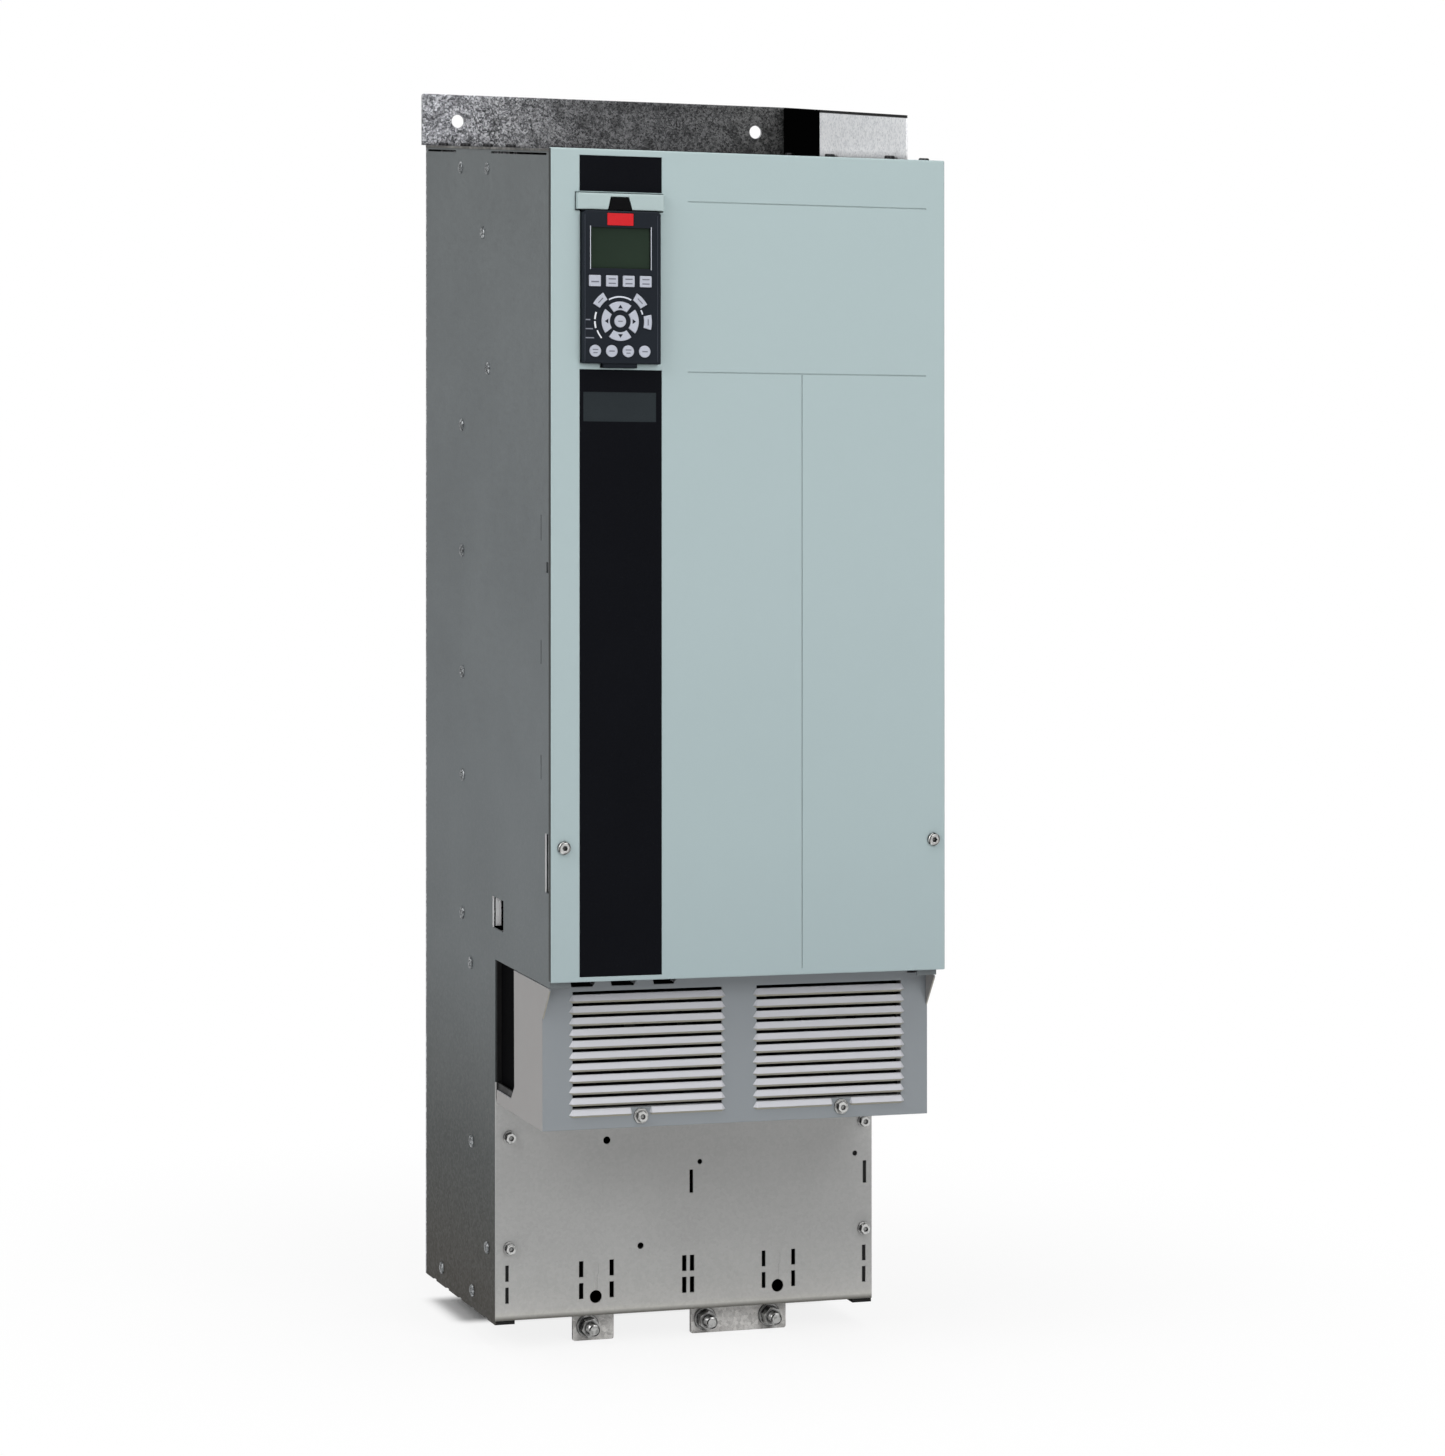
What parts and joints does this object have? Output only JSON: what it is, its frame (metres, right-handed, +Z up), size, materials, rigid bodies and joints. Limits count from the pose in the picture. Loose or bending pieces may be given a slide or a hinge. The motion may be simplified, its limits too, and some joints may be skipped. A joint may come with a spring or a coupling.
{
  "type": "variable frequency drive",
  "caption": "Tall wall-mounted variable frequency drive: sheet-metal chassis with rear cooling channel, painted front cover, pull-out keypad and louvred terminal cover.",
  "frame": {"origin": "on the middle plane of the 360 mm front cover (1.4 mm right of the middle of the overall box, whose mounting flange reaches further left), midway between the mounting plane and the key faces, at the lowest level under the earthing bars", "axes": "+Z up, +Y towards the wall out of the rear face, +X to the right seen from the front"},
  "size_m": [0.3628, 0.354, 1.0866],
  "materials": {
    "galvanised_sheet": "hot-dip galvanised sheet with a fine spangle",
    "rear_panel_galvanised": "galvanised sheet with a coarse dark spangle",
    "lower_plate_galvanised": "light matt galvanised sheet",
    "cover_paint": "fine-textured grey-green powder coat",
    "terminal_cover_paint": "fine-textured grey powder coat",
    "black_inlay": "fine leather grain",
    "keypad_body": "satin dark blue-grey",
    "key_caps": "satin light grey",
    "display": "dark display window",
    "black_plastic": "moulded black plastic",
    "foam_seal": "black foam",
    "zinc_fasteners": "bright zinc plate",
    "aluminium": "extruded aluminium",
    "tinned_copper": "tin-plated copper bar",
    "circuit_board": "green solder mask",
    "shield_plastic": "black insulating sheet",
    "choke_core": "varnished laminated iron with a wound coil",
    "led_lens": "clear light guides"
  },
  "bodies": {
    "chassis": {"ac_busbars": "tinned_copper", "capacitor_bank": "aluminium", "chassis_screws": "zinc_fasteners", "control_card": "circuit_board", "cover_brackets": "galvanised_sheet", "dc_busbars": "tinned_copper", "dc_choke": "choke_core", "duct_partition": "galvanised_sheet", "fan_plate": "galvanised_sheet", "flange_seal": "foam_seal", "ground_bars": "lower_plate_galvanised", "ground_nuts": "zinc_fasteners", "ground_studs": "zinc_fasteners", "heatsink": "aluminium", "heatsink_fan_frames": "black_plastic", "igbt_modules": "black_plastic", "keypad_cradle": "cover_paint", "left_side_panel": "galvanised_sheet", "lower_front_plate": "lower_plate_galvanised", "mixing_fan_frame": "black_plastic", "power_card": "circuit_board", "rear_panel": "rear_panel_galvanised", "rectifier_modules": "black_plastic", "right_side_panel": "galvanised_sheet", "right_top_flange": "galvanised_sheet", "side_rivets": "zinc_fasteners", "terminal_block": "black_plastic", "terminal_bolts": "zinc_fasteners", "terminal_rail": "galvanised_sheet", "terminal_shield": "shield_plastic", "top_plate": "galvanised_sheet"},
    "cover": {"front_cover": "cover_paint", "black_inlays": "black_inlay", "cover_screws": "zinc_fasteners"},
    "terminal_cover": {"louvre_cover": "terminal_cover_paint", "louvre_screws": "zinc_fasteners"},
    "keypad": {"keypad_housing": "keypad_body", "display_glass": "display", "keypad_board": "circuit_board", "status_leds": "led_lens"},
    "latch": {"keypad_latch": "black_plastic"},
    "fan_left": {"heatsink_fan_rotor_left": "black_plastic"},
    "fan_right": {"heatsink_fan_rotor_right": "black_plastic"},
    "mixing_fan": {"mixing_fan_rotor": "black_plastic"},
    "key_status": {"key_status": "key_caps"},
    "key_quick_menu": {"key_quick_menu": "key_caps"},
    "key_main_menu": {"key_main_menu": "key_caps"},
    "key_alarm_log": {"key_alarm_log": "key_caps"},
    "key_hand_on": {"key_hand_on": "key_caps"},
    "key_off": {"key_off": "key_caps"},
    "key_auto_on": {"key_auto_on": "key_caps"},
    "key_reset": {"key_reset": "key_caps"},
    "key_ok": {"key_ok": "key_caps"},
    "key_right": {"key_right": "key_caps"},
    "key_up": {"key_up": "key_caps"},
    "key_left": {"key_left": "key_caps"},
    "key_down": {"key_down": "key_caps"},
    "key_back": {"key_back": "key_caps"},
    "key_cancel": {"key_cancel": "key_caps"},
    "key_info": {"key_info": "key_caps"}
  },
  "joints": [
    {"name": "cover_removal", "type": "slide", "parent": "chassis", "child": "cover", "axis": [0, -1, 0], "range_m": [0, 0.12]},
    {"name": "terminal_cover_removal", "type": "slide", "parent": "chassis", "child": "terminal_cover", "axis": [0, -1, 0], "range_m": [0, 0.1]},
    {"name": "keypad_release", "type": "slide", "parent": "chassis", "child": "keypad", "axis": [0, -1, 0], "range_m": [0, 0.05]},
    {"name": "latch_flex", "type": "hinge", "parent": "keypad", "child": "latch", "pos_m": [-0.12, -0.17265, 0.9903], "axis": [-1, 0, 0], "range_deg": [0, 8]},
    {"name": "heatsink_fan_left_spin", "type": "hinge", "parent": "chassis", "child": "fan_left", "pos_m": [-0.089, 0.07805, 0.108], "axis": [0, 0, 1], "continuous": true},
    {"name": "heatsink_fan_right_spin", "type": "hinge", "parent": "chassis", "child": "fan_right", "pos_m": [0.085, 0.07805, 0.108], "axis": [0, 0, 1], "continuous": true},
    {"name": "mixing_fan_spin", "type": "hinge", "parent": "chassis", "child": "mixing_fan", "pos_m": [0.096, -0.08495, 1.026], "axis": [0, 0, 1], "continuous": true},
    {"name": "key_status_press", "type": "slide", "parent": "keypad", "child": "key_status", "axis": [0, 1, 0], "range_m": [0, 0.0008]},
    {"name": "key_quick_menu_press", "type": "slide", "parent": "keypad", "child": "key_quick_menu", "axis": [0, 1, 0], "range_m": [0, 0.0008]},
    {"name": "key_main_menu_press", "type": "slide", "parent": "keypad", "child": "key_main_menu", "axis": [0, 1, 0], "range_m": [0, 0.0008]},
    {"name": "key_alarm_log_press", "type": "slide", "parent": "keypad", "child": "key_alarm_log", "axis": [0, 1, 0], "range_m": [0, 0.0008]},
    {"name": "key_hand_on_press", "type": "slide", "parent": "keypad", "child": "key_hand_on", "axis": [0, 1, 0], "range_m": [0, 0.0008]},
    {"name": "key_off_press", "type": "slide", "parent": "keypad", "child": "key_off", "axis": [0, 1, 0], "range_m": [0, 0.0008]},
    {"name": "key_auto_on_press", "type": "slide", "parent": "keypad", "child": "key_auto_on", "axis": [0, 1, 0], "range_m": [0, 0.0008]},
    {"name": "key_reset_press", "type": "slide", "parent": "keypad", "child": "key_reset", "axis": [0, 1, 0], "range_m": [0, 0.0008]},
    {"name": "key_ok_press", "type": "slide", "parent": "keypad", "child": "key_ok", "axis": [0, 1, 0], "range_m": [0, 0.0008]},
    {"name": "key_right_press", "type": "slide", "parent": "keypad", "child": "key_right", "axis": [0, 1, 0], "range_m": [0, 0.0008]},
    {"name": "key_up_press", "type": "slide", "parent": "keypad", "child": "key_up", "axis": [0, 1, 0], "range_m": [0, 0.0008]},
    {"name": "key_left_press", "type": "slide", "parent": "keypad", "child": "key_left", "axis": [0, 1, 0], "range_m": [0, 0.0008]},
    {"name": "key_down_press", "type": "slide", "parent": "keypad", "child": "key_down", "axis": [0, 1, 0], "range_m": [0, 0.0008]},
    {"name": "key_back_press", "type": "slide", "parent": "keypad", "child": "key_back", "axis": [0, 1, 0], "range_m": [0, 0.0008]},
    {"name": "key_cancel_press", "type": "slide", "parent": "keypad", "child": "key_cancel", "axis": [0, 1, 0], "range_m": [0, 0.0008]},
    {"name": "key_info_press", "type": "slide", "parent": "keypad", "child": "key_info", "axis": [0, 1, 0], "range_m": [0, 0.0008]}
  ]
}
